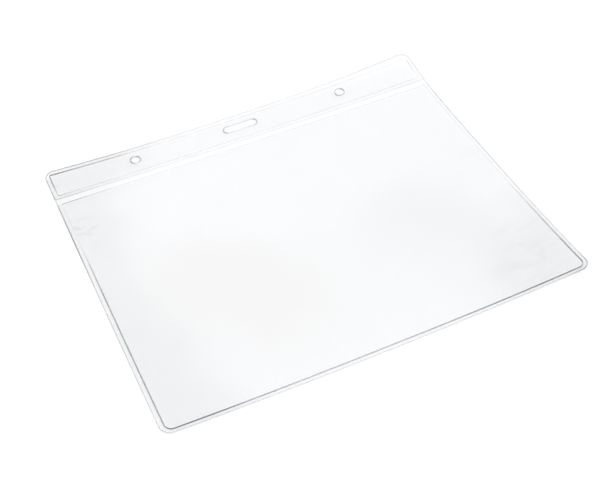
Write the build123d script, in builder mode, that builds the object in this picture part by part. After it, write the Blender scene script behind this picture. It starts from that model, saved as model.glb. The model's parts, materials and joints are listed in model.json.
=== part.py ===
"""Clear soft-vinyl badge holder, landscape, for an A6 card.

Three films are joined at their margins by high-frequency welds: a back film as large as the
whole holder, a punched header strip along its top, and a pocket film whose upper edge is left
free as the mouth. Between the header strip and the mouth the back film lies alone, and the
header bends there.

The holder lies flat. +Z is up through the films, +Y points to the header and +X to the right.
The origin is the middle of the outline, on the underside of the back film. Millimetres.
"""

import os

from build123d import *

# Outline
WIDTH = 156.0
HEIGHT = 132.0
CORNER_RADIUS = 4.0

# Films
FILM = 0.3
POCKET_GAP = 0.1

# Welds: a pressed band along the margin, and a bead of squeezed vinyl along its inner edge
WELD_WIDTH = 2.0
WELD_PRESSED = 0.15
BEAD_WIDTH = 0.5
BEAD_HEIGHT = 0.45
BEAD_ROUNDING = 0.15
PANEL_CORNER_RADIUS = 0.8
POCKET_CORNER_RADIUS = 2.3

# Header strip and pocket, measured down from the top edge
HEADER_DEPTH = 16.0
MOUTH_DEPTH = 19.0
MOUTH_CORNER_RADIUS = 0.6

# Punched holes
PUNCH_DEPTH = 7.2
HOLE_DIAMETER = 3.8
HOLE_SPACING = 87.5
SLOT_LENGTH = 14.0
SLOT_WIDTH = 3.5

# Gaps each side of the line where the header bends, and round the free part of the pocket film
FLEX_CLEARANCE = 0.2
PANEL_CLEARANCE = 0.1

TOP = HEIGHT / 2
BOTTOM = -HEIGHT / 2
HEADER_BOTTOM = TOP - HEADER_DEPTH
MOUTH = TOP - MOUTH_DEPTH
FLEX_LINE = (HEADER_BOTTOM + MOUTH) / 2

POCKET_HINGE = BOTTOM + WELD_WIDTH + PANEL_CLEARANCE


def keep_between(low, high):
    """Keep only what the sketch in progress has between two lines across the holder."""
    with Locations((0, (low + high) / 2)):
        Rectangle(WIDTH, high - low, mode=Mode.INTERSECT)


def punch_header():
    """Cut the two round holes and the slot out of the sketch in progress."""
    with Locations((0, TOP - PUNCH_DEPTH)):
        with GridLocations(HOLE_SPACING, 0, 2, 1):
            Circle(HOLE_DIAMETER / 2, mode=Mode.SUBTRACT)
        SlotOverall(SLOT_LENGTH, SLOT_WIDTH, mode=Mode.SUBTRACT)


def header_panel(margin, mode=Mode.ADD):
    """Draw the header strip's shape, set in from the strip's edges by a margin."""
    with Locations((0, (TOP + HEADER_BOTTOM) / 2)):
        RectangleRounded(
            WIDTH - 2 * margin,
            HEADER_DEPTH - 2 * margin,
            PANEL_CORNER_RADIUS + WELD_WIDTH - margin,
            mode=mode,
        )


def pocket_panel(margin, mode=Mode.ADD):
    """Draw the pocket's shape up past its mouth, set in from the outer edge by a margin."""
    with Locations((0, BOTTOM + margin + HEIGHT / 2)):
        RectangleRounded(
            WIDTH - 2 * margin,
            HEIGHT,
            POCKET_CORNER_RADIUS + WELD_WIDTH - margin,
            mode=mode,
        )


def round_bead_crest():
    """Round the two upper edges of the bead on the part in progress."""
    crest = faces().sort_by(Axis.Z)[-1]
    fillet(crest.edges(), radius=BEAD_ROUNDING)


with BuildPart() as pocket_back:
    with BuildSketch():
        RectangleRounded(WIDTH, HEIGHT, CORNER_RADIUS)
        keep_between(BOTTOM, FLEX_LINE - FLEX_CLEARANCE)
    extrude(amount=FILM)

with BuildPart() as header_back:
    with BuildSketch():
        RectangleRounded(WIDTH, HEIGHT, CORNER_RADIUS)
        keep_between(FLEX_LINE + FLEX_CLEARANCE, TOP)
        punch_header()
    extrude(amount=FILM)

with BuildPart() as header_film:
    with BuildSketch(Plane.XY.offset(FILM)):
        header_panel(WELD_WIDTH)
        punch_header()
    extrude(amount=FILM)

with BuildPart() as header_weld:
    with BuildSketch(Plane.XY.offset(FILM)):
        RectangleRounded(WIDTH, HEIGHT, CORNER_RADIUS)
        keep_between(HEADER_BOTTOM, TOP)
        header_panel(WELD_WIDTH, mode=Mode.SUBTRACT)
    extrude(amount=WELD_PRESSED)
    with BuildSketch(Plane.XY.offset(FILM)):
        header_panel(WELD_WIDTH - BEAD_WIDTH)
        header_panel(WELD_WIDTH, mode=Mode.SUBTRACT)
    extrude(amount=BEAD_HEIGHT)
    round_bead_crest()

with BuildPart() as pocket_weld:
    with BuildSketch(Plane.XY.offset(FILM)):
        RectangleRounded(WIDTH, HEIGHT, CORNER_RADIUS)
        pocket_panel(WELD_WIDTH, mode=Mode.SUBTRACT)
        keep_between(BOTTOM, MOUTH)
    extrude(amount=WELD_PRESSED)
    with BuildSketch(Plane.XY.offset(FILM)):
        pocket_panel(WELD_WIDTH - BEAD_WIDTH)
        pocket_panel(WELD_WIDTH, mode=Mode.SUBTRACT)
        keep_between(BOTTOM, MOUTH)
    extrude(amount=BEAD_HEIGHT)
    round_bead_crest()

with BuildPart() as pocket_film:
    with BuildSketch(Plane.XY.offset(FILM + POCKET_GAP)):
        pocket_panel(WELD_WIDTH + PANEL_CLEARANCE)
        keep_between(BOTTOM, MOUTH)
        mouth_corners = vertices().group_by(Axis.Y)[-1]
        fillet(mouth_corners, radius=MOUTH_CORNER_RADIUS)
    extrude(amount=FILM)

PIECES = {
    "pocket_back": pocket_back,
    "header_back": header_back,
    "header_film": header_film,
    "header_weld": header_weld,
    "pocket_weld": pocket_weld,
    "pocket_film": pocket_film,
}

os.makedirs("parts", exist_ok=True)
for name, piece in PIECES.items():
    piece.part.label = name
    export_step(piece.part, f"parts/{name}.step")

print(f"header bends about y = {FLEX_LINE} mm, z = {FILM / 2} mm")
print(f"pocket film swings about y = {POCKET_HINGE} mm, z = {FILM + POCKET_GAP} mm")
print(f"holes and slot lie on y = {TOP - PUNCH_DEPTH} mm")
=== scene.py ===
"""Clear soft-vinyl badge holder: its films, welded margins and studio, built round the CAD frame."""

import json
import math

import bmesh
import bpy
from bpy.props import FloatProperty, FloatVectorProperty, PointerProperty
from bpy.types import Operator, Panel, PropertyGroup
from mathutils import Matrix, Vector, noise


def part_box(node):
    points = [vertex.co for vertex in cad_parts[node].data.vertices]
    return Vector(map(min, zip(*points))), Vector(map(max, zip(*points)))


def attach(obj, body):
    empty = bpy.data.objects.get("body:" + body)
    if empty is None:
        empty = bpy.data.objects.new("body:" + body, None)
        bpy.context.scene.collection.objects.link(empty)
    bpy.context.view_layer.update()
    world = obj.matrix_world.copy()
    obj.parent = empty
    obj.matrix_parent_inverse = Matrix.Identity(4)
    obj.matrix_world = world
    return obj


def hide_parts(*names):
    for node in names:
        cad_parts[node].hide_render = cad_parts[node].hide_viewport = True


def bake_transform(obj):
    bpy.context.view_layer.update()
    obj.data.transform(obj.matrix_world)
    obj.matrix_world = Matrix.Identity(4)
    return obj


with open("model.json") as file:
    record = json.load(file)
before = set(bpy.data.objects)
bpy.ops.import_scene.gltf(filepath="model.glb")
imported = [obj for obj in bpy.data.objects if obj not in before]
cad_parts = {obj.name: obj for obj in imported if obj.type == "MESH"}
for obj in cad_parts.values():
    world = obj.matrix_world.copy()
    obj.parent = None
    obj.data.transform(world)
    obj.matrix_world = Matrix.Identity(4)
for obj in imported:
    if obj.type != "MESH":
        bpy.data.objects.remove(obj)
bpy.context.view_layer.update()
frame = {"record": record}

bl_info = {
    "name": "Clear Badge Holder",
    "version": (1, 0, 0),
    "blender": (4, 5, 0),
    "location": "View3D > Sidebar > Badge Holder",
    "description": "Builds a clear vinyl badge holder from its films, welds and punched holes",
    "category": "Mesh",
}

MM = 0.001

# Places and sizes that the CAD frame gives
BACK_LOW, BACK_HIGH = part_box("pocket_back")
WINDOW_LOW, WINDOW_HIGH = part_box("pocket_film")
MOUNTS = {mount["name"]: mount for mount in frame["record"]["mounts"]}

HALF_WIDTH = BACK_HIGH.x
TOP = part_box("header_back")[1].y
BOTTOM = BACK_LOW.y
FILM = BACK_HIGH.z - BACK_LOW.z
STRIP_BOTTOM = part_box("header_weld")[0].y
MOUTH = WINDOW_HIGH.y
FLEX_LINE = (MOUTH + STRIP_BOTTOM) / 2
WINDOW_UNDERSIDE = WINDOW_LOW.z
BEAD_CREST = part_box("pocket_weld")[1].z
PUNCH_LINE = MOUNTS["header_slot"]["pos_m"][1]
HOLE_PLACES = [MOUNTS[f"header_hole_{side}"]["pos_m"][0] for side in ("left", "right")]
HOLE_RADIUS = MOUNTS["header_hole_left"]["dims"]["r_mm"] * MM

# How finely the meshes are cut
CORNER_STEPS = 10
HOLE_STEPS = 32
BEAD_STEPS = 8
EDGE_STEPS = 4
ROUNDING_STEPS = 3
SHEET_STEP = 3 * MM
WINDOW_STEP = 1.5 * MM
FLEX_STEP = 0.3 * MM
CUT_TOLERANCE = 1e-7
SORTING_SLACK = 1e-4

# Gap left between pieces that lie on each other
CONTACT_GAP = 0.01 * MM

# A face whose normal rises less than this is part of a sheet's wall
WALL_RISE = 0.5

# Edges sharper than this stay sharp in the shading
SHARP_ANGLE = math.radians(50)

# How far the pull on the header reaches to each side of the middle of its left half
PULL_REACH = 0.9 * HALF_WIDTH

# How far in from its welds the pocket film swells fully, and how many waves it has in a metre
SWELL_RUN_IN = 18 * MM
SWELL_WAVES = 24

# Soft patches, each with its place, its reach and its strength. All are painted shade but the blue
# and the grey corner weld patches
# Painted shade on the films: towards three corners and in patches
SHADE_PATCHES = (
    ((-HALF_WIDTH, TOP), 64 * MM, 0.5),
    ((-HALF_WIDTH, BOTTOM), 55 * MM, 0.3),
    ((HALF_WIDTH, BOTTOM), 52 * MM, 1.1),
    ((50 * MM, -38 * MM), 52 * MM, 0.25),
    ((34 * MM, -14 * MM), 28 * MM, 0.2),
    ((56 * MM, -20 * MM), 26 * MM, 0.2),
)
# Painted shade on the films: soft grey clouds
CLOUD_SHADE_PATCHES = (
    ((-44 * MM, -8 * MM), 40 * MM, 0.6),
    ((-24 * MM, -26 * MM), 40 * MM, 0.55),
    ((8 * MM, -26 * MM), 52 * MM, 0.15),
)
# Painted shade in small folds of the films
CREASE_SHADE_PATCHES = (
    ((-HALF_WIDTH + 4 * MM, 32 * MM), 16 * MM, 0.6),
    ((HALF_WIDTH - 14 * MM, BOTTOM + 14 * MM), 27 * MM, 0.32),
    ((HALF_WIDTH - 6 * MM, 0.0), 16 * MM, 0.12),
)
BLUE_WELD_PATCHES = (
    ((-HALF_WIDTH, BOTTOM), 60 * MM, 1.0),
    ((45 * MM, BOTTOM), 40 * MM, 0.7),
    ((-HALF_WIDTH, TOP), 12 * MM, 1.0),
)
# Where the pressed band is greyer, at its lower right corner
GREY_CORNER_WELD_PATCHES = (((HALF_WIDTH, BOTTOM + 6 * MM), 18 * MM, 0.8),)
# Painted shade along the welds' beads
BEAD_SHADE_PATCHES = (
    ((-HALF_WIDTH, BOTTOM), 85 * MM, 0.55),
    ((-HALF_WIDTH - 22 * MM, -40 * MM), 80 * MM, 1.0),
    ((-HALF_WIDTH, -8 * MM), 40 * MM, 0.6),
    ((0.0, BOTTOM), 60 * MM, 0.4),
    ((HALF_WIDTH - 12 * MM, BOTTOM - 10 * MM), 70 * MM, 1.0),
    ((-HALF_WIDTH, TOP - 6 * MM), 18 * MM, 0.8),
    ((-HALF_WIDTH + 18 * MM, TOP + 12 * MM), 32 * MM, 0.6),
)
# Painted shade on the cut edges round the holes and the slot
HOLE_RIM_SHADE_PATCHES = tuple(((place, PUNCH_LINE), 16 * MM, 0.45) for place in (*HOLE_PLACES, 0.0))
# Painted shade on the films' cut edges
CUT_EDGE_SHADE_PATCHES = (
    ((-HALF_WIDTH, 38 * MM), 30 * MM, 0.7),
    ((-HALF_WIDTH + 18 * MM, TOP + 14 * MM), 34 * MM, 0.9),
    ((HALF_WIDTH, BOTTOM), 12 * MM, 0.9),
)
# Painted shade on the welds' outer edges
WELD_EDGE_SHADE_PATCHES = (
    ((-HALF_WIDTH, 30 * MM), 34 * MM, 0.9),
    ((-HALF_WIDTH, TOP - 8 * MM), 16 * MM, 0.3),
    ((HALF_WIDTH, BOTTOM), 12 * MM, 0.9),
)
# Painted shade on the welds' outer edges at the upper left and upper right, on the sides that don't
# face the front
UPPER_LEFT_EDGE_SHADE_PATCHES = (((-HALF_WIDTH + 18 * MM, TOP), 52 * MM, 1.0),)
UPPER_RIGHT_EDGE_SHADE_PATCHES = (((HALF_WIDTH, TOP), 60 * MM, 0.52),)

# The film's painted shade grows to the left, from this far inside its left edge to this far outside
# it
SHADE_FREE_INSIDE = 38 * MM
FULL_SHADE_OUTSIDE = 12 * MM

# How much of the holder's tint and painted shade the back film has, and an upper film
BACK_SHARE = 1.65
FRONT_SHARE = 0.35

# Name, place, side length and power of each lamp
SOFTBOXES = (
    ("key softbox", (-0.9, 0.6, 1.3), 0.8, 9.1),
    ("fill softbox", (1.2, -0.4, 1.1), 0.7, 4.5),
)

# The sky is grey at the horizon and white from this share of the way up
HORIZON_GREY = (0.6, 0.6, 0.6, 1)
SKY_WHITE = (1.0, 1.0, 1.0, 1)
SKY_WHITE_FROM = 0.8


class HolderSizes(PropertyGroup):
    """Sizes of the holder that the CAD frame doesn't hold."""

    corner_radius: FloatProperty(
        name="Corner radius",
        description="Radius of the holder's four outer corners",
        default=4 * MM,
        unit="LENGTH",
    )
    panel_corner_radius: FloatProperty(
        name="Header panel corner radius",
        description="Radius of the bead's corners in the header",
        default=0.9 * MM,
        unit="LENGTH",
    )
    pocket_corner_radius: FloatProperty(
        name="Pocket corner radius",
        description="Radius of the bead's corners at the bottom of the pocket",
        default=2.8 * MM,
        unit="LENGTH",
    )
    strip_corner_radius: FloatProperty(
        name="Strip corner radius",
        description="Radius of the header strip's two lower corners and of the mouth's corners",
        default=0.6 * MM,
        unit="LENGTH",
    )
    slot_length: FloatProperty(
        name="Slot length",
        description="Length of the strap slot, end to end",
        default=14 * MM,
        unit="LENGTH",
    )
    slot_width: FloatProperty(
        name="Slot width",
        description="Width of the strap slot",
        default=3.5 * MM,
        unit="LENGTH",
    )
    bead_width: FloatProperty(
        name="Bead width",
        description="Width of the bead of squeezed vinyl along a weld",
        default=0.42 * MM,
        unit="LENGTH",
    )
    side_margin: FloatProperty(
        name="Side margin",
        description="Width of the pressed band at the left and right, from the edge to the bead",
        default=1.55 * MM,
        unit="LENGTH",
    )
    bottom_margin: FloatProperty(
        name="Bottom margin",
        description="Width of the pressed band along the bottom, from the edge to the bead",
        default=1.15 * MM,
        unit="LENGTH",
    )
    strip_margin: FloatProperty(
        name="Strip margin",
        description="Width of the pressed band along the header strip's lower edge",
        default=1.5 * MM,
        unit="LENGTH",
    )
    top_margin: FloatProperty(
        name="Top margin",
        description="Width of the pressed band along the top, from the edge to the bead",
        default=2.0 * MM,
        unit="LENGTH",
    )
    weld_run_off: FloatProperty(
        name="Weld run-off",
        description="How much wider the pressed band along the top is at its right end",
        default=0.75 * MM,
        unit="LENGTH",
    )
    pressed_height: FloatProperty(
        name="Pressed height",
        description="How far the pressed band stands over the back film",
        default=0.15 * MM,
        unit="LENGTH",
    )
    edge_slope: FloatProperty(
        name="Edge slope",
        description="How far in from the cut edge the pressed band is squeezed thinner",
        default=0.3 * MM,
        unit="LENGTH",
    )
    edge_rounding: FloatProperty(
        name="Edge rounding",
        description="Rounding of the films' cut edges",
        default=0.14 * MM,
        unit="LENGTH",
    )


class HolderShape(PropertyGroup):
    """How the soft holder lies on the table."""

    lift_top_left: FloatProperty(
        name="Top left lift",
        description="How far this corner has curled up off the table",
        default=2.4 * MM,
        unit="LENGTH",
    )
    lift_top_right: FloatProperty(
        name="Top right lift",
        description="How far this corner has curled up off the table",
        default=3.4 * MM,
        unit="LENGTH",
    )
    lift_bottom_left: FloatProperty(
        name="Bottom left lift",
        description="How far this corner has curled up off the table",
        default=1.9 * MM,
        unit="LENGTH",
    )
    lift_bottom_right: FloatProperty(
        name="Bottom right lift",
        description="How far this corner has curled up off the table",
        default=2.2 * MM,
        unit="LENGTH",
    )
    header_tilt_left: FloatProperty(
        name="Header tilt, left",
        description="How far the header's left end is bent up, or if negative down, from the pocket",
        default=-1.0 * MM,
        unit="LENGTH",
    )
    header_tilt_right: FloatProperty(
        name="Header tilt, right",
        description="How far the header's right end is bent up, or if negative down, from the pocket",
        default=0.95 * MM,
        unit="LENGTH",
    )
    header_pull: FloatProperty(
        name="Header pull",
        description="How far the top edge's left half is drawn towards the pocket",
        default=0.8 * MM,
        unit="LENGTH",
    )
    curl: FloatProperty(
        name="Curl",
        description="How late towards a corner its curl sets in",
        default=2.4,
        min=1.0,
    )
    curl_header: FloatProperty(
        name="Header curl",
        description="How late up the holder the curl of its top corners sets in",
        default=4.0,
        min=1.0,
    )
    window_swell: FloatProperty(
        name="Window swell",
        description="How far the pocket film stands off the back film at most",
        default=0.45 * MM,
        unit="LENGTH",
    )


class HolderColours(PropertyGroup):
    """Colours of the clear vinyl, and of the painted shade on it."""

    film: FloatVectorProperty(
        name="Film",
        description="Light that one face of the clear film lets through",
        subtype="COLOR",
        size=3,
        min=0,
        max=1,
        default=(0.994, 0.9953, 0.9975),
    )
    # Painted shade: each face's tint where the film is shaded
    shade: FloatVectorProperty(
        name="Shaded film",
        description="Light that one face lets through where the film is duller",
        subtype="COLOR",
        size=3,
        min=0,
        max=1,
        default=(0.9735, 0.9748, 0.977),
    )
    # Painted shade: each face's tint in the soft grey clouds
    cloud_shade: FloatVectorProperty(
        name="Clouded film",
        description="Light that one face lets through where the film is cloudy",
        subtype="COLOR",
        size=3,
        min=0,
        max=1,
        default=(0.984, 0.9835, 0.983),
    )
    # Painted shade in the small folds; the pressed band's greyer lower right corner uses it too
    crease: FloatVectorProperty(
        name="Crease",
        description="Light that one face lets through in a small fold of the film",
        subtype="COLOR",
        size=3,
        min=0,
        max=1,
        default=(0.955, 0.956, 0.958),
    )
    weld: FloatVectorProperty(
        name="Weld",
        description="Light that the pressed band lets through in its tinted corner",
        subtype="COLOR",
        size=3,
        min=0,
        max=1,
        default=(0.982, 0.99, 0.994),
    )
    # Painted shade: the bead is clear, and this dark colour stands in for the shade that it gathers
    # by bending light
    bead: FloatVectorProperty(
        name="Bead",
        description="Colour of the bead of squeezed vinyl",
        subtype="COLOR",
        size=3,
        min=0,
        max=1,
        default=(0.12, 0.13, 0.14),
    )
    # Painted shade: the cut edges are clear, and this dark colour stands in for the shade that they
    # gather by bending light
    cut_edge: FloatVectorProperty(
        name="Cut edge",
        description="Colour of the films' cut edges",
        subtype="COLOR",
        size=3,
        min=0,
        max=1,
        default=(0.2, 0.21, 0.22),
    )


class StudioSettings(PropertyGroup):
    """Camera, floor and light."""

    lens: FloatProperty(name="Lens", description="Focal length in millimetres", default=67.0)
    camera_place: FloatVectorProperty(
        name="Camera place",
        description="Where the camera stands",
        subtype="TRANSLATION",
        size=3,
        default=(-0.11305, -0.26014, 0.28661),
    )
    camera_target: FloatVectorProperty(
        name="Camera target",
        description="The point in the middle of the picture",
        subtype="TRANSLATION",
        size=3,
        default=(-0.00513, -0.00812, 0.0),
    )
    camera_roll: FloatProperty(
        name="Camera roll",
        description="Turn of the camera about its line of sight",
        default=math.radians(-2.56),
        subtype="ANGLE",
    )
    floor_size: FloatProperty(
        name="Floor size",
        description="Length of each side of the floor",
        default=8.0,
        unit="LENGTH",
    )
    sky_strength: FloatProperty(
        name="Sky strength",
        description="Brightness of the light from all round",
        default=0.91,
    )


# ---------------------------------------------------------------- how the soft holder lies


def ease(share):
    """Let a share between 0 and 1 start and end gently."""
    return share * share * (3 - 2 * share)


def rise(x, y):
    """Height of the holder's underside over the table: its corners curl up a little."""
    shape = bpy.context.scene.holder_shape
    across = x / HALF_WIDTH
    along = y / TOP
    height = 0.0
    for side_x, side_y, lift, curl_along in (
        (-1, 1, shape.lift_top_left, shape.curl_header),
        (1, 1, shape.lift_top_right, shape.curl_header),
        (-1, -1, shape.lift_bottom_left, shape.curl),
        (1, -1, shape.lift_bottom_right, shape.curl),
    ):
        share_x = max(0.0, across * side_x)
        share_y = max(0.0, along * side_y)
        height += lift * share_x**shape.curl * share_y**curl_along
    up_header = max(0.0, (y - FLEX_LINE) / (TOP - FLEX_LINE))
    tilt = shape.header_tilt_left if across < 0 else shape.header_tilt_right
    return height + tilt * across * across * up_header


def pull(x, y):
    """How far a point is drawn towards the pocket: the header's left half has shrunk a little."""
    up_header = max(0.0, (y - STRIP_BOTTOM) / (TOP - STRIP_BOTTOM))
    near = max(0.0, 1 - abs(x + HALF_WIDTH / 2) / PULL_REACH)
    return bpy.context.scene.holder_shape.header_pull * up_header * ease(near)


def lay_down(bm):
    """Bend a finished flat mesh to the way that the holder lies."""
    for vert in bm.verts:
        x, y, z = vert.co
        vert.co = (x, y - pull(x, y), z + rise(x, y))


# ---------------------------------------------------------------- mesh work


def cut_blank(bm, low, high, bottom_radius, top_radius, slant=0.0):
    """One flat face with round corners, whose top edge is lower by slant at its right end."""
    others = set(bm.faces)
    right_top = high[1] - slant
    places = [(low[0], low[1]), (high[0], low[1]), (high[0], right_top), (low[0], high[1])]
    corners = [bm.verts.new((x, y, 0.0)) for x, y in places]
    bm.faces.new(corners)
    for pair, radius in ((corners[:2], bottom_radius), (corners[2:], top_radius)):
        bmesh.ops.bevel(
            bm,
            geom=pair,
            offset=radius,
            offset_type="OFFSET",
            affect="VERTICES",
            segments=CORNER_STEPS,
            profile=0.5,
            material=-1,
        )
    return next(face for face in bm.faces if face not in others)


def cut_through(bm, axis, place):
    """Cut every face along a line across the sheet."""
    normal = Vector((0, 0, 0))
    normal[axis] = 1.0
    bmesh.ops.bisect_plane(
        bm,
        geom=bm.verts[:] + bm.edges[:] + bm.faces[:],
        plane_co=normal * place,
        plane_no=normal,
        dist=CUT_TOLERANCE,
    )


def slice_evenly(bm, axis, low, high, step):
    """Cut the sheet across at even steps, so that it can bend."""
    count = max(1, round((high - low) / step))
    for index in range(1, count):
        cut_through(bm, axis, low + (high - low) * index / count)


def join_rings(bm, inner, outer, centre):
    """Fill the space between two rings of as many vertices, one round the other, with faces."""

    def turn(vert):
        """How far round the centre a vertex is. The slack keeps the first from sorting last."""
        angle = math.atan2(vert.co.y - centre[1], vert.co.x - centre[0])
        return (angle + SORTING_SLACK) % (2 * math.pi)

    inner = sorted(inner, key=turn)
    outer = sorted(outer, key=turn)
    for index in range(len(inner)):
        last = index - 1
        bm.faces.new((inner[last], outer[last], outer[index], inner[index]))


def punch(bm, place, half_span, radius, straight=0.0):
    """Punch a round hole, or with a straight stretch a round-ended slot, out of the flat sheet.

    half_span is half the size of the rectangle round it that is cut free of the sheet first.
    """
    for axis in (0, 1):
        for side in (-1, 1):
            cut_through(bm, axis, place[axis] + side * half_span[axis])
    patch = min(bm.faces, key=lambda face: (face.calc_center_bounds().xy - Vector(place)).length)
    bmesh.ops.bisect_edges(bm, edges=patch.edges[:], cuts=HOLE_STEPS // 4 - 1)
    border = patch.verts[:]
    bmesh.ops.delete(bm, geom=[patch], context="FACES_ONLY")
    half_step = Matrix.Rotation(math.pi / HOLE_STEPS, 4, "Z")
    rim = bmesh.ops.create_circle(
        bm,
        cap_ends=False,
        radius=radius,
        segments=HOLE_STEPS,
        matrix=Matrix.Translation((place[0], place[1], 0.0)) @ half_step,
    )["verts"]
    for vert in rim:
        vert.co.x += math.copysign(straight / 2, vert.co.x - place[0])

    join_rings(bm, rim, border, place)


def punch_header(bm):
    """Punch the two round holes and the slot of the header."""
    sizes = bpy.context.scene.holder_sizes
    margin = 2 * HOLE_RADIUS
    for place in HOLE_PLACES:
        punch(bm, (place, PUNCH_LINE), (margin, margin), HOLE_RADIUS)
    straight = sizes.slot_length - sizes.slot_width
    slot_span = (straight / 2 + margin, margin)
    punch(bm, (0.0, PUNCH_LINE), slot_span, sizes.slot_width / 2, straight)


def thicken(bm, underside, thickness, is_cut):
    """Give the flat sheet its thickness, with rounded edges.

    Edges for whose middle is_cut is true look cut, and get material 1, the cut edges' painted shade.
    """
    sizes = bpy.context.scene.holder_sizes
    made = bmesh.ops.extrude_face_region(bm, geom=bm.faces[:], use_keep_orig=True)
    upper = [item for item in made["geom"] if isinstance(item, bmesh.types.BMVert)]
    bmesh.ops.translate(bm, verts=bm.verts[:], vec=(0, 0, underside))
    bmesh.ops.translate(bm, verts=upper, vec=(0, 0, thickness))
    bmesh.ops.recalc_face_normals(bm, faces=bm.faces[:])
    walls = {face for face in bm.faces if abs(face.normal.z) < WALL_RISE}
    arrises = [edge for edge in bm.edges if len(walls.intersection(edge.link_faces)) == 1]
    rounded = bmesh.ops.bevel(
        bm,
        geom=arrises,
        offset=sizes.edge_rounding,
        affect="EDGES",
        segments=ROUNDING_STEPS,
        profile=0.5,
        material=-1,
    )["faces"]
    for face in {*rounded, *(face for face in bm.faces if abs(face.normal.z) < WALL_RISE)}:
        face.material_index = int(is_cut(face.calc_center_median()))


def round_inwards(bm, face, profile, turn, steps, material):
    """Step a flat face inwards along an elliptical arc, which leaves a rounded strip round it.

    profile is the arc's (half width, height, lowest point), turn how far round it goes.
    """
    half_width, height, floor = profile
    done = 0.0
    for step in range(1, steps + 1):
        angle = turn * step / steps
        inward = half_width * (1 - math.cos(angle))
        ring = bmesh.ops.inset_region(
            bm,
            faces=[face],
            thickness=inward - done,
            use_boundary=True,
            use_even_offset=True,
        )["faces"]
        done = inward
        for strip in ring:
            strip.material_index = material
        for vert in face.verts:
            vert.co.z = floor + height * math.sin(angle)


def welded_band(bm, outer, bead):
    """A closed ring: a rounded outer edge, the pressed band and the bead along its inner edge.

    outer and bead are two outlines, each given as cut_blank takes it. Faces of the pressed band
    get material 0, those of the bead material 1 and those of the edge material 2.
    """
    sizes = bpy.context.scene.holder_sizes
    crest = BEAD_CREST - FILM
    pressed = sizes.pressed_height
    outer_face = cut_blank(bm, *outer)
    bead_face = cut_blank(bm, *bead)
    for vert in outer_face.verts:
        vert.co.z = CONTACT_GAP
    for vert in bead_face.verts:
        vert.co.z = pressed
    edge_profile = (sizes.edge_slope, pressed - CONTACT_GAP, CONTACT_GAP)
    round_inwards(bm, outer_face, edge_profile, math.pi / 2, EDGE_STEPS, 2)
    bead_outline = bead_face.verts[:]
    bead_profile = (sizes.bead_width / 2, crest - pressed, pressed)
    round_inwards(bm, bead_face, bead_profile, math.pi, BEAD_STEPS, 1)
    centre = (outer_face.calc_center_bounds().x, outer_face.calc_center_bounds().y)
    join_rings(bm, bead_outline, outer_face.verts, centre)
    inner_edges = bead_face.edges[:]
    bmesh.ops.delete(bm, geom=[outer_face, bead_face], context="FACES_ONLY")
    made = bmesh.ops.extrude_edge_only(bm, edges=inner_edges)["geom"]
    inner_floor = [item for item in made if isinstance(item, bmesh.types.BMVert)]
    for vert in inner_floor:
        vert.co.z = CONTACT_GAP
    for item in made:
        if isinstance(item, bmesh.types.BMFace):
            item.material_index = 1
    outer_floor = {vert for edge in bm.edges if edge.is_boundary for vert in edge.verts}
    join_rings(bm, inner_floor, outer_floor - set(inner_floor), centre)
    bmesh.ops.translate(bm, verts=bm.verts[:], vec=(0, 0, FILM))
    bmesh.ops.recalc_face_normals(bm, faces=bm.faces[:])


def finish_piece(name, bm, materials):
    """Make an object of a bmesh, smooth but for its sharp edges, at the origin."""
    for edge in bm.edges:
        edge.smooth = edge.calc_face_angle(0.0) < SHARP_ANGLE
    for face in bm.faces:
        face.smooth = True
    mesh = bpy.data.meshes.new(name)
    bm.to_mesh(mesh)
    bm.free()
    for material in materials:
        mesh.materials.append(material)
    piece = bpy.data.objects.new(name, mesh)
    bpy.context.scene.collection.objects.link(piece)
    return piece


def pass_light(piece):
    """Let a clear piece that bends light, but swallows none, leave the table under it bright."""
    piece.visible_shadow = False
    piece.visible_diffuse = False


# ---------------------------------------------------------------- materials


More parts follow.
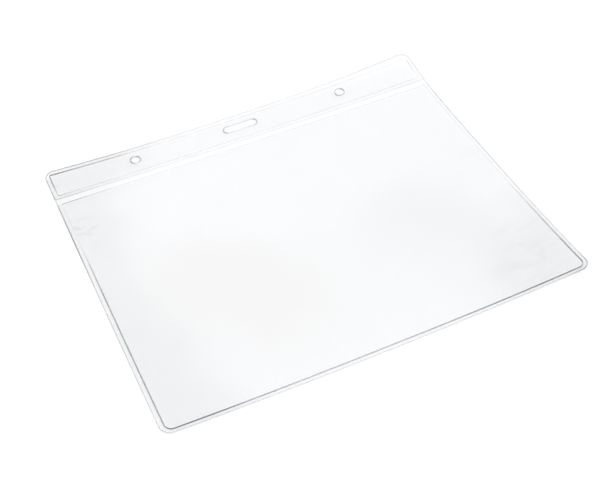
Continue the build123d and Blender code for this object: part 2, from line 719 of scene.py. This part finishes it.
class Nodes:
    """Short hand for adding and joining the nodes of one material."""

    def __init__(self, name):
        self.material = bpy.data.materials.get(name) or bpy.data.materials.new(name)
        self.material.use_nodes = True
        self.tree = self.material.node_tree
        self.tree.nodes.clear()

    def add(self, kind, **settings):
        """Add a node. A setting named as a socket, or in0, in1 and so on, sets or joins it."""
        node = self.tree.nodes.new(f"ShaderNode{kind}")
        for key, value in settings.items():
            label = key.replace("_", " ")
            socket = node.inputs.get(label) or node.inputs.get(label.title())
            if socket is None and key.startswith("in") and key[2:].isdigit():
                socket = node.inputs[int(key[2:])]
            if socket is None:
                setattr(node, key, value)
            elif isinstance(value, bpy.types.NodeSocket):
                self.tree.links.new(value, socket)
            else:
                socket.default_value = value
        return node

    def maths(self, operation, first, second=0.0, clamp=False):
        """Add a Math node and return its output."""
        node = self.add("Math", operation=operation, use_clamp=clamp, in0=first, in1=second)
        return node.outputs[0]

    def total(self, *values):
        """Add values up and keep the sum between 0 and 1."""
        result = values[0]
        for value in values[1:]:
            result = self.maths("ADD", result, value, clamp=True)
        return result

    def scaled(self, value, low, high):
        """Stretch a value between 0 and 1 to run from low to high."""
        node = self.add("MapRange", Value=value, To_Min=low, To_Max=high)
        return node.outputs["Result"]

    def mix_colour(self, factor, first, second):
        """Mix two colours and return the output."""
        node = self.add("Mix", data_type="RGBA", in0=factor, in6=first, in7=second)
        return node.outputs[2]

    def object_place(self):
        """The place in the holder's own frame."""
        return self.add("TexCoord").outputs["Object"]

    def object_normal(self):
        """The way that the surface faces, in the piece's own frame."""
        return self.add("TexCoord").outputs["Normal"]

    def wandering_place(self, scale, reach):
        """The place, shifted about by up to a reach or so, so that patches get uneven borders."""
        place = self.object_place()
        drift = self.add("TexNoise", Vector=place, Scale=scale, Detail=2.0).outputs["Color"]
        centred = self.add("VectorMath", operation="SUBTRACT", in0=drift, in1=(0.5, 0.5, 0.5))
        shift = self.add("VectorMath", operation="SCALE", in0=centred.outputs[0], Scale=4 * reach)
        return self.add(
            "VectorMath", operation="ADD", in0=place, in1=shift.outputs[0]
        ).outputs[0]

    def patch(self, place, centre, reach, strength):
        """A soft round patch: its strength at its centre, nothing at its reach and beyond."""
        away = self.add("VectorMath", operation="DISTANCE", in0=place, in1=(*centre, 0.0))
        fade = self.add(
            "MapRange",
            interpolation_type="SMOOTHSTEP",
            Value=away.outputs["Value"],
            From_Min=reach,
            From_Max=0.0,
            To_Max=strength,
        )
        return fade.outputs["Result"]

    def patches(self, place, spots):
        """The sum of soft round patches, between 0 and 1."""
        return self.total(*(self.patch(place, *spot) for spot in spots))

    def mirrored_share(self, head_on, normal):
        """How much light a clear face mirrors: little head on, nearly all at a glance."""
        weight = self.add("LayerWeight", Blend=0.5, Normal=normal)
        steep = self.maths("POWER", weight.outputs["Facing"], 5.0)
        return self.scaled(steep, head_on, 1.0)

    def clear_face(self, tint, head_on, roughness, normal):
        """A face that lets light straight through, tinted, and mirrors the rest."""
        through = self.add("BsdfTransparent", Color=tint).outputs[0]
        gloss = self.add(
            "BsdfAnisotropic", Color=(1, 1, 1, 1), Roughness=roughness, Normal=normal
        ).outputs[0]
        share = self.mirrored_share(head_on, normal)
        return self.add("MixShader", in0=share, in1=through, in2=gloss).outputs[0]

    def finish(self, shader):
        """Join the shader to the material's output."""
        self.add("OutputMaterial", Surface=shader)
        return self.material


def with_alpha(colour):
    """A colour as the four numbers that a socket takes."""
    return (*colour, 1.0)


def painted_shade_amount(nodes, place):
    """How much painted shade the vinyl gets: to the left, towards three corners, in patches."""
    left_fade = nodes.add(
        "MapRange",
        interpolation_type="SMOOTHSTEP",
        Value=nodes.add("SeparateXYZ", Vector=place).outputs["X"],
        From_Min=-HALF_WIDTH + SHADE_FREE_INSIDE,
        From_Max=-HALF_WIDTH - FULL_SHADE_OUTSIDE,
    ).outputs["Result"]
    return nodes.total(left_fade, nodes.patches(place, SHADE_PATCHES))


def crease_shade(nodes):
    """Painted shade in small folds of the soft film: by its left and right edges and in the lower
    right corner.
    """
    place = nodes.object_place()
    along = nodes.add("VectorMath", operation="MULTIPLY", in0=place, in1=(1.0, 2.4, 1.0))
    folds = nodes.add(
        "TexNoise", Vector=along.outputs[0], Scale=140.0, Detail=2.0, Distortion=0.9
    )
    sharp = nodes.add(
        "MapRange",
        interpolation_type="SMOOTHSTEP",
        Value=folds.outputs["Fac"],
        From_Min=0.48,
        From_Max=0.66,
    ).outputs["Result"]
    return nodes.maths("MULTIPLY", sharp, nodes.patches(place, CREASE_SHADE_PATCHES))


def clear_film_material(name, share):
    """Clear glossy vinyl film with some of the holder's tint and painted shade.

    A share above 1 gives this film more of them, and one below 1 gives it less.
    """
    colours = bpy.context.scene.holder_colours
    clear = [channel**share for channel in colours.film]
    nodes = Nodes(name)
    place = nodes.wandering_place(20.0, 14 * MM)
    cloud_shade_amount = nodes.maths("MULTIPLY", nodes.patches(place, CLOUD_SHADE_PATCHES), share)
    shade_amount = nodes.maths("MULTIPLY", painted_shade_amount(nodes, place), share)
    tint = nodes.mix_colour(shade_amount, with_alpha(clear), with_alpha(colours.shade))
    tint = nodes.mix_colour(cloud_shade_amount, tint, with_alpha(colours.cloud_shade))
    tint = nodes.mix_colour(crease_shade(nodes), tint, with_alpha(colours.crease))
    ripple = nodes.add("TexNoise", Vector=nodes.object_place(), Scale=90.0, Detail=2.0)
    bump = nodes.add("Bump", Strength=0.12, Distance=0.0006, Height=ripple.outputs["Fac"])
    film = nodes.clear_face(tint, head_on=0.045, roughness=0.06, normal=bump.outputs["Normal"])
    return nodes.finish(film)


def back_film_material():
    """The back film's vinyl, which has most of the tint and of the painted shade."""
    return clear_film_material("clear back film", BACK_SHARE)


def front_film_material():
    """The vinyl of the two upper films, with less tint and painted shade than the back film."""
    return clear_film_material("clear front film", FRONT_SHARE)


def pressed_weld_material():
    """The pressed band: clear, a little frosted, faintly blue, greyer at the lower right corner, with
    painted shade.
    """
    colours = bpy.context.scene.holder_colours
    nodes = Nodes("pressed weld")
    place = nodes.wandering_place(40.0, 3 * MM)
    blue = nodes.patches(place, BLUE_WELD_PATCHES)
    # Painted shade, as on the films
    grey = nodes.maths("MULTIPLY", painted_shade_amount(nodes, place), 0.9)
    grey_corner = nodes.patches(place, GREY_CORNER_WELD_PATCHES)
    tint = nodes.mix_colour(grey, with_alpha(colours.film), with_alpha(colours.shade))
    tint = nodes.mix_colour(blue, tint, with_alpha(colours.weld))
    tint = nodes.mix_colour(grey_corner, tint, with_alpha(colours.crease))
    grain = nodes.add("TexNoise", Vector=nodes.object_place(), Scale=900.0, Detail=2.0)
    bump = nodes.add("Bump", Strength=0.2, Distance=0.00005, Height=grain.outputs["Fac"])
    band = nodes.clear_face(tint, head_on=0.05, roughness=0.2, normal=bump.outputs["Normal"])
    return nodes.finish(band)


def bead_shade_material():
    """The bead of squeezed vinyl: clear, with painted shade where its flanks bend the light."""
    colours = bpy.context.scene.holder_colours
    nodes = Nodes("weld bead")
    place = nodes.wandering_place(30.0, 4 * MM)
    dark = nodes.patches(place, BEAD_SHADE_PATCHES)
    streaks = nodes.add("TexNoise", Vector=nodes.object_place(), Scale=160.0, Detail=3.0)
    uneven = nodes.maths("MULTIPLY", dark, nodes.scaled(streaks.outputs["Fac"], 0.7, 1.35))
    # Painted shade: the bead's flanks are darker than its crest
    upward = nodes.add("SeparateXYZ", Vector=nodes.object_normal()).outputs["Z"]
    crest = nodes.maths("POWER", nodes.maths("ABSOLUTE", upward), 3.0)
    flank = nodes.scaled(crest, 1.0, 0.5)
    bead = nodes.add(
        "BsdfPrincipled",
        Base_Color=with_alpha(colours.bead),
        Roughness=0.15,
        IOR=1.53,
        Alpha=nodes.maths("MULTIPLY", flank, nodes.scaled(uneven, 0.06, 1.0)),
    )
    return nodes.finish(bead.outputs[0])


def edge_shade_shader(nodes, dark):
    """A clear, uneven edge whose painted shade shows as a grey line, the more so where dark nears 1.
    """
    streaks = nodes.add("TexNoise", Vector=nodes.object_place(), Scale=120.0, Detail=3.0)
    uneven = nodes.maths("MULTIPLY", dark, nodes.scaled(streaks.outputs["Fac"], 0.6, 1.3))
    edge = nodes.add(
        "BsdfPrincipled",
        Base_Color=with_alpha(bpy.context.scene.holder_colours.cut_edge),
        Roughness=0.3,
        IOR=1.53,
        Alpha=nodes.scaled(uneven, 0.16, 1.0),
    )
    return edge.outputs[0]


def cut_edge_shade_material():
    """The films' cut edges, with painted shade: darkest by the holes, at the upper left and at the
    lower right.
    """
    nodes = Nodes("cut edge")
    place = nodes.wandering_place(30.0, 4 * MM)
    # Painted shade by which way the edge faces: more on its left and right sides, most on its left
    # side
    across = nodes.add("SeparateXYZ", Vector=nodes.object_normal()).outputs["X"]
    facing_left = nodes.maths("MAXIMUM", nodes.maths("MULTIPLY", across, -1.0), 0.0)
    sideways = nodes.maths("ABSOLUTE", across)
    near_holes = nodes.patches(place, HOLE_RIM_SHADE_PATCHES)
    dark = nodes.total(
        nodes.maths("MULTIPLY", sideways, nodes.total(0.2, near_holes)),
        nodes.maths("MULTIPLY", facing_left, nodes.total(0.12, near_holes)),
        nodes.patches(place, CUT_EDGE_SHADE_PATCHES),
    )
    return nodes.finish(edge_shade_shader(nodes, dark))


def weld_edge_shade_material():
    """The welds' squeezed outer edge, a grey line of painted shade: darkest at the upper left and
    lower right.
    """
    nodes = Nodes("weld edge")
    place = nodes.wandering_place(30.0, 4 * MM)
    # Painted shade by which way the edge faces: more on its left and right sides, and at the upper
    # corners on the sides that don't face the front
    facing = nodes.add("SeparateXYZ", Vector=nodes.object_normal())
    sideways = nodes.maths("ABSOLUTE", facing.outputs["X"])
    facing_back = nodes.maths("GREATER_THAN", facing.outputs["Y"], 0.0)
    not_facing_front = nodes.maths("GREATER_THAN", facing.outputs["Y"], -0.05)
    upper_left = nodes.patches(place, UPPER_LEFT_EDGE_SHADE_PATCHES)
    upper_right = nodes.patches(place, UPPER_RIGHT_EDGE_SHADE_PATCHES)
    dark = nodes.total(
        nodes.maths("MULTIPLY", sideways, 0.4),
        nodes.maths("MULTIPLY", facing_back, upper_left),
        nodes.maths("MULTIPLY", not_facing_front, upper_right),
        nodes.patches(place, WELD_EDGE_SHADE_PATCHES),
    )
    return nodes.finish(edge_shade_shader(nodes, dark))


def floor_material():
    """A plain, pale, matt table top."""
    nodes = Nodes("pale table")
    place = nodes.add("TexCoord").outputs["Object"]
    grain = nodes.add("TexNoise", Vector=place, Scale=400.0, Detail=2.0)
    tone = nodes.mix_colour(grain.outputs["Fac"], (0.93, 0.93, 0.93, 1), (0.95, 0.95, 0.95, 1))
    top = nodes.add("BsdfPrincipled", Base_Color=tone, Roughness=0.9)
    return nodes.finish(top.outputs[0])


# ---------------------------------------------------------------- operators


class BADGE_OT_back_film(Operator):
    """Make the back film: the full-size sheet, punched in its header and bending with it"""

    bl_idname = "badge.back_film"
    bl_label = "Back Film"

    def execute(self, context):
        sizes = context.scene.holder_sizes
        bm = bmesh.new()
        cut_blank(
            bm, (-HALF_WIDTH, BOTTOM), (HALF_WIDTH, TOP), sizes.corner_radius, sizes.corner_radius
        )
        punch_header(bm)
        for place in (MOUTH, STRIP_BOTTOM):
            cut_through(bm, 1, place)
        slice_evenly(bm, 1, MOUTH, STRIP_BOTTOM, FLEX_STEP)
        slice_evenly(bm, 1, BOTTOM, MOUTH, SHEET_STEP)
        slice_evenly(bm, 1, STRIP_BOTTOM, TOP, SHEET_STEP)
        slice_evenly(bm, 0, -HALF_WIDTH, HALF_WIDTH, SHEET_STEP)
        thicken(bm, 0.0, FILM, lambda _: True)
        lay_down(bm)
        film = finish_piece("back_film", bm, [back_film_material(), cut_edge_shade_material()])
        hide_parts("pocket_back", "header_back")
        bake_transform(film)
        return {"FINISHED"}


class BADGE_OT_header(Operator):
    """Make the header's second film and the weld all round it"""

    bl_idname = "badge.header"
    bl_label = "Header"

    def execute(self, context):
        sizes = context.scene.holder_sizes
        bead_low = (-HALF_WIDTH + sizes.side_margin, STRIP_BOTTOM + sizes.strip_margin)
        bead_high = (HALF_WIDTH - sizes.side_margin, TOP - sizes.top_margin)
        tuck = sizes.bead_width / 2
        low = (bead_low[0] + tuck, bead_low[1] + tuck)
        high = (bead_high[0] - tuck, bead_high[1] - tuck)
        bm = bmesh.new()
        corners = (sizes.panel_corner_radius, sizes.panel_corner_radius)
        cut_blank(bm, low, high, *corners, sizes.weld_run_off)
        punch_header(bm)
        slice_evenly(bm, 0, -HALF_WIDTH, HALF_WIDTH, SHEET_STEP)
        slice_evenly(bm, 1, STRIP_BOTTOM, TOP, SHEET_STEP)
        # Only the rims of the holes look cut, with painted shade: the film's own edge is melted into
        # the weld
        inside = (high[1] - low[1]) / 4
        thicken(bm, FILM + CONTACT_GAP, FILM, lambda place: abs(place.y - PUNCH_LINE) < inside)
        lay_down(bm)
        film = finish_piece("header_front", bm, [front_film_material(), cut_edge_shade_material()])
        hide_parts("header_film")
        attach(film, "header")

        bm = bmesh.new()
        welded_band(
            bm,
            (
                (-HALF_WIDTH, STRIP_BOTTOM),
                (HALF_WIDTH, TOP),
                sizes.strip_corner_radius,
                sizes.corner_radius,
            ),
            (bead_low, bead_high, *corners, sizes.weld_run_off),
        )
        slice_evenly(bm, 0, -HALF_WIDTH, HALF_WIDTH, SHEET_STEP)
        slice_evenly(bm, 1, STRIP_BOTTOM, TOP, SHEET_STEP)
        lay_down(bm)
        weld = finish_piece(
            "header_seam",
            bm,
            [pressed_weld_material(), bead_shade_material(), weld_edge_shade_material()],
        )
        pass_light(weld)
        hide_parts("header_weld")
        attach(weld, "header")
        return {"FINISHED"}


class BADGE_OT_pocket_seam(Operator):
    """Make the weld on the left, bottom and right of the pocket"""

    bl_idname = "badge.pocket_seam"
    bl_label = "Pocket Seam"

    def execute(self, context):
        sizes = context.scene.holder_sizes
        # The weld is made all round the holder and then cut off at the mouth
        bm = bmesh.new()
        welded_band(
            bm,
            ((-HALF_WIDTH, BOTTOM), (HALF_WIDTH, TOP), sizes.corner_radius, sizes.corner_radius),
            (
                (-HALF_WIDTH + sizes.side_margin, BOTTOM + sizes.bottom_margin),
                (HALF_WIDTH - sizes.side_margin, TOP - sizes.top_margin),
                sizes.pocket_corner_radius,
                sizes.pocket_corner_radius,
            ),
        )
        bmesh.ops.bisect_plane(
            bm,
            geom=bm.verts[:] + bm.edges[:] + bm.faces[:],
            plane_co=(0, MOUTH, 0),
            plane_no=(0, 1, 0),
            clear_outer=True,
        )
        bmesh.ops.holes_fill(bm, edges=[edge for edge in bm.edges if edge.is_boundary], sides=0)
        slice_evenly(bm, 0, -HALF_WIDTH, HALF_WIDTH, SHEET_STEP)
        slice_evenly(bm, 1, BOTTOM, MOUTH, SHEET_STEP)
        lay_down(bm)
        weld = finish_piece(
            "pocket_seam",
            bm,
            [pressed_weld_material(), bead_shade_material(), weld_edge_shade_material()],
        )
        pass_light(weld)
        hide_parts("pocket_weld")
        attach(weld, "pocket")
        return {"FINISHED"}


class BADGE_OT_window(Operator):
    """Make the pocket film, which stands a little off the back film inside its welds"""

    bl_idname = "badge.window"
    bl_label = "Pocket Window"

    def execute(self, context):
        sizes = context.scene.holder_sizes
        shape = context.scene.holder_shape
        tuck = sizes.bead_width / 2
        low = (-HALF_WIDTH + sizes.side_margin + tuck, BOTTOM + sizes.bottom_margin + tuck)
        high = (-low[0], MOUTH)
        bm = bmesh.new()
        cut_blank(bm, low, high, sizes.pocket_corner_radius, sizes.strip_corner_radius)
        slice_evenly(bm, 0, low[0], high[0], WINDOW_STEP)
        slice_evenly(bm, 1, low[1], high[1], WINDOW_STEP)
        cut_through(bm, 0, 0.0)
        # Only the mouth looks cut, with painted shade: the other edges are melted into the weld
        thicken(bm, WINDOW_UNDERSIDE, FILM, lambda place: place.y > MOUTH - FILM)
        for vert in bm.verts:
            x, y, _ = vert.co
            inset = min(x - low[0], high[0] - x, y - low[1])
            share = ease(min(1.0, max(0.0, inset / SWELL_RUN_IN)))
            wave = noise.noise(Vector((x, y, 0.0)) * SWELL_WAVES)
            vert.co.z += shape.window_swell * share * (0.5 + 0.5 * wave)
        lay_down(bm)
        # The film is cut at its middle into two halves, made into two pieces and joined into one
        # again
        materials = [front_film_material(), cut_edge_shade_material()]
        halves = []
        for side, name in ((-1, "pocket_window"), (1, "pocket_window_right")):
            half = bm.copy()
            bmesh.ops.bisect_plane(
                half,
                geom=half.verts[:] + half.edges[:] + half.faces[:],
                plane_co=(0, 0, 0),
                plane_no=(side, 0, 0),
                clear_inner=True,
            )
            piece = finish_piece(name, half, materials)
            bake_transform(piece)
            halves.append(piece)
        bm.free()
        film = halves[0]
        bpy.ops.object.select_all(action="DESELECT")
        for piece in halves:
            piece.select_set(True)
        context.view_layer.objects.active = film
        bpy.ops.object.join()
        joined = bmesh.new()
        joined.from_mesh(film.data)
        bmesh.ops.remove_doubles(
            joined, verts=[v for v in joined.verts if abs(v.co.x) < 1e-6], dist=1e-6
        )
        joined.to_mesh(film.data)
        joined.free()
        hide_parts("pocket_film")
        return {"FINISHED"}


class BADGE_OT_studio(Operator):
    """Make the table top, the light and the camera"""

    bl_idname = "badge.studio"
    bl_label = "Studio"

    def execute(self, context):
        scene = context.scene
        studio = scene.studio
        bm = bmesh.new()
        bmesh.ops.create_grid(bm, x_segments=4, y_segments=4, size=studio.floor_size / 2)
        bmesh.ops.translate(bm, verts=bm.verts[:], vec=(0, 0, -CONTACT_GAP * 2))
        table = finish_piece("table_top", bm, [floor_material()])

        world = bpy.data.worlds.new("studio light")
        scene.world = world
        world.use_nodes = True
        tree = world.node_tree
        tree.nodes.clear()
        direction = tree.nodes.new("ShaderNodeTexCoord")
        split = tree.nodes.new("ShaderNodeSeparateXYZ")
        ramp = tree.nodes.new("ShaderNodeValToRGB")
        background = tree.nodes.new("ShaderNodeBackground")
        output = tree.nodes.new("ShaderNodeOutputWorld")
        ramp.color_ramp.elements[0].color = HORIZON_GREY
        ramp.color_ramp.elements[1].color = SKY_WHITE
        ramp.color_ramp.elements[1].position = SKY_WHITE_FROM
        background.inputs["Strength"].default_value = studio.sky_strength
        tree.links.new(direction.outputs["Generated"], split.inputs[0])
        tree.links.new(split.outputs["Z"], ramp.inputs["Fac"])
        tree.links.new(ramp.outputs["Color"], background.inputs["Color"])
        tree.links.new(background.outputs[0], output.inputs["Surface"])

        for name, place, size, power in SOFTBOXES:
            lamp = bpy.data.lights.new(name, "AREA")
            lamp.shape = "SQUARE"
            lamp.size = size
            lamp.energy = power
            light = bpy.data.objects.new(name, lamp)
            light.location = place
            light.rotation_euler = (-Vector(place)).to_track_quat("-Z", "Y").to_euler()
            scene.collection.objects.link(light)

        camera_data = bpy.data.cameras.new("camera")
        camera_data.lens = studio.lens
        camera_data.clip_start = 0.01
        camera_data.clip_end = 50.0
        camera = bpy.data.objects.new("camera", camera_data)
        place = Vector(studio.camera_place)
        look = (Vector(studio.camera_target) - place).to_track_quat("-Z", "Y").to_matrix()
        roll = Matrix.Rotation(studio.camera_roll, 3, "Z")
        camera.matrix_world = Matrix.Translation(place) @ (look @ roll).to_4x4()
        scene.collection.objects.link(camera)
        scene.camera = camera
        scene.view_settings.view_transform = "Standard"
        scene.cycles.transparent_max_bounces = 32
        return {"FINISHED"}


class BADGE_PT_panel(Panel):
    """Lists the badge holder's pieces and settings in the sidebar"""

    bl_label = "Clear Badge Holder"
    bl_space_type = "VIEW_3D"
    bl_region_type = "UI"
    bl_category = "Badge Holder"

    def draw(self, context):
        layout = self.layout
        for operator in OPERATORS:
            layout.operator(operator.bl_idname)
        for settings in ("holder_sizes", "holder_shape", "holder_colours", "studio"):
            group = getattr(context.scene, settings)
            box = layout.box()
            for name in group.bl_rna.properties.keys():
                if name not in ("rna_type", "name"):
                    box.prop(group, name)


SETTINGS = {
    "holder_sizes": HolderSizes,
    "holder_shape": HolderShape,
    "holder_colours": HolderColours,
    "studio": StudioSettings,
}
OPERATORS = (
    BADGE_OT_back_film,
    BADGE_OT_header,
    BADGE_OT_pocket_seam,
    BADGE_OT_window,
    BADGE_OT_studio,
)


def register():
    """Register the settings, operators and panel."""
    for name, group in SETTINGS.items():
        bpy.utils.register_class(group)
        setattr(bpy.types.Scene, name, PointerProperty(type=group))
    for operator in (*OPERATORS, BADGE_PT_panel):
        bpy.utils.register_class(operator)


def unregister():
    """Take the settings, operators and panel out again."""
    for operator in reversed((*OPERATORS, BADGE_PT_panel)):
        bpy.utils.unregister_class(operator)
    for name, group in SETTINGS.items():
        delattr(bpy.types.Scene, name)
        bpy.utils.unregister_class(group)


def main():
    """Register the add-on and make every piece."""
    register()
    bpy.ops.badge.back_film()
    bpy.ops.badge.header()
    bpy.ops.badge.pocket_seam()
    bpy.ops.badge.window()
    bpy.ops.badge.studio()


if __name__ == "__main__":
    main()
